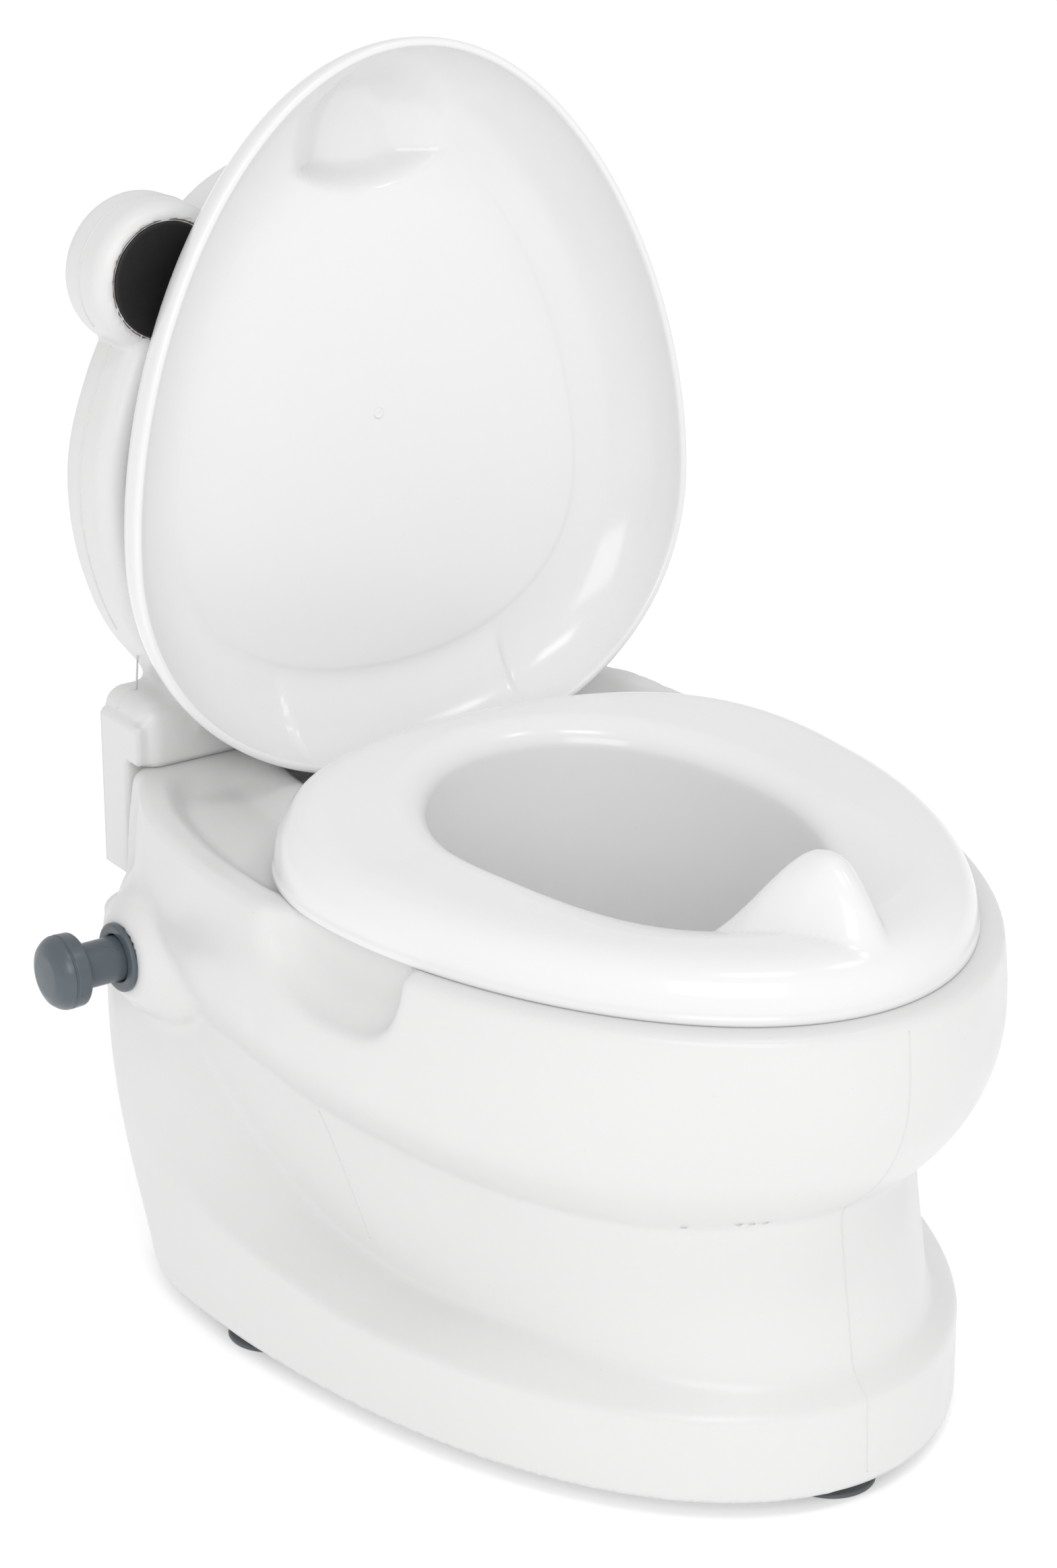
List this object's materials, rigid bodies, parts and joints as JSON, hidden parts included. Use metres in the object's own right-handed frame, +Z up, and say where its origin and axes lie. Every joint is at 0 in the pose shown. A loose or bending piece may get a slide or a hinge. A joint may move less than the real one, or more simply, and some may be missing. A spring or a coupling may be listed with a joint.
{
  "type": "potty training chair",
  "caption": "Child's potty training chair shaped like a small toilet: hinged lid, lift-out seat and bowl, side flush knob, hooked-on backboard.",
  "frame": {"origin": "on the floor, under the middle of the chair's bounding box; the chair's own plane of symmetry is at x = +19.0 mm, because the knob stands out on -X only", "axes": "+Z up, the chair faces -Y, the flush knob is on -X"},
  "size_m": [0.312, 0.38, 0.4924],
  "materials": {
    "white_satin": "satin blow-moulded, with a faint orange peel",
    "white_gloss": "glossy injection-moulded",
    "slate_plastic": "satin slate grey",
    "slate_rubber": "soft slate grey rubber",
    "black_matte": "matte black",
    "steel": "plain bright steel",
    "cell_jacket": "plain printed sleeve without any text",
    "board_green": "green board lacquer"
  },
  "bodies": {
    "body": {"body_shell": "white_satin", "backboard": "white_satin", "hinge_bracket": "white_gloss", "hinge_pins": "steel", "hinge_screws": "steel", "backboard_screws": "steel", "lobe_disc_left": "black_matte", "lobe_disc_right": "black_matte", "knob_collar": "slate_plastic", "return_spring": "steel", "sound_unit_case": "slate_plastic", "batteries": "cell_jacket", "battery_contacts": "steel", "circuit_board": "board_green", "push_switch": "black_matte", "speaker": "black_matte", "suction_foot_front": "slate_rubber", "suction_foot_left": "slate_rubber", "suction_foot_right": "slate_rubber", "suction_foot_rear": "slate_rubber"},
    "lid": {"lid": "white_gloss"},
    "insert": {"seat_and_bowl": "white_gloss"},
    "knob": {"flush_knob": "slate_plastic", "knob_clip": "steel"},
    "plunger": {"switch_plunger": "slate_plastic"},
    "door": {"battery_door": "white_satin"},
    "screw": {"battery_door_screw": "steel"}
  },
  "joints": [
    {"name": "lid_hinge", "type": "hinge", "parent": "body", "child": "lid", "pos_m": [0.019, 0.1091, 0.2009], "axis": [-1, 0, 0], "range_deg": [-92.5, 0]},
    {"name": "insert_lift", "type": "slide", "parent": "body", "child": "insert", "axis": [0, 0, 1], "range_m": [0, 0.16]},
    {"name": "flush_push", "type": "slide", "parent": "body", "child": "knob", "axis": [1, 0, 0], "range_m": [0, 0.006], "stiffness_N_per_m": 350, "springref_m": -0.004, "deforming": ["return_spring"]},
    {"name": "plunger_push", "type": "slide", "parent": "body", "child": "plunger", "axis": [1, 0, 0], "range_m": [0, 0.0015]},
    {"name": "battery_door_pull", "type": "slide", "parent": "body", "child": "door", "axis": [0, 1, 0], "range_m": [0, 0.04]},
    {"name": "door_screw_out", "type": "slide", "parent": "door", "child": "screw", "axis": [0, 1, 0], "range_m": [0, 0.007]}
  ],
  "couplings": [
    {"joint": "plunger_push", "follows": "flush_push", "ratio": 0.25}
  ]
}
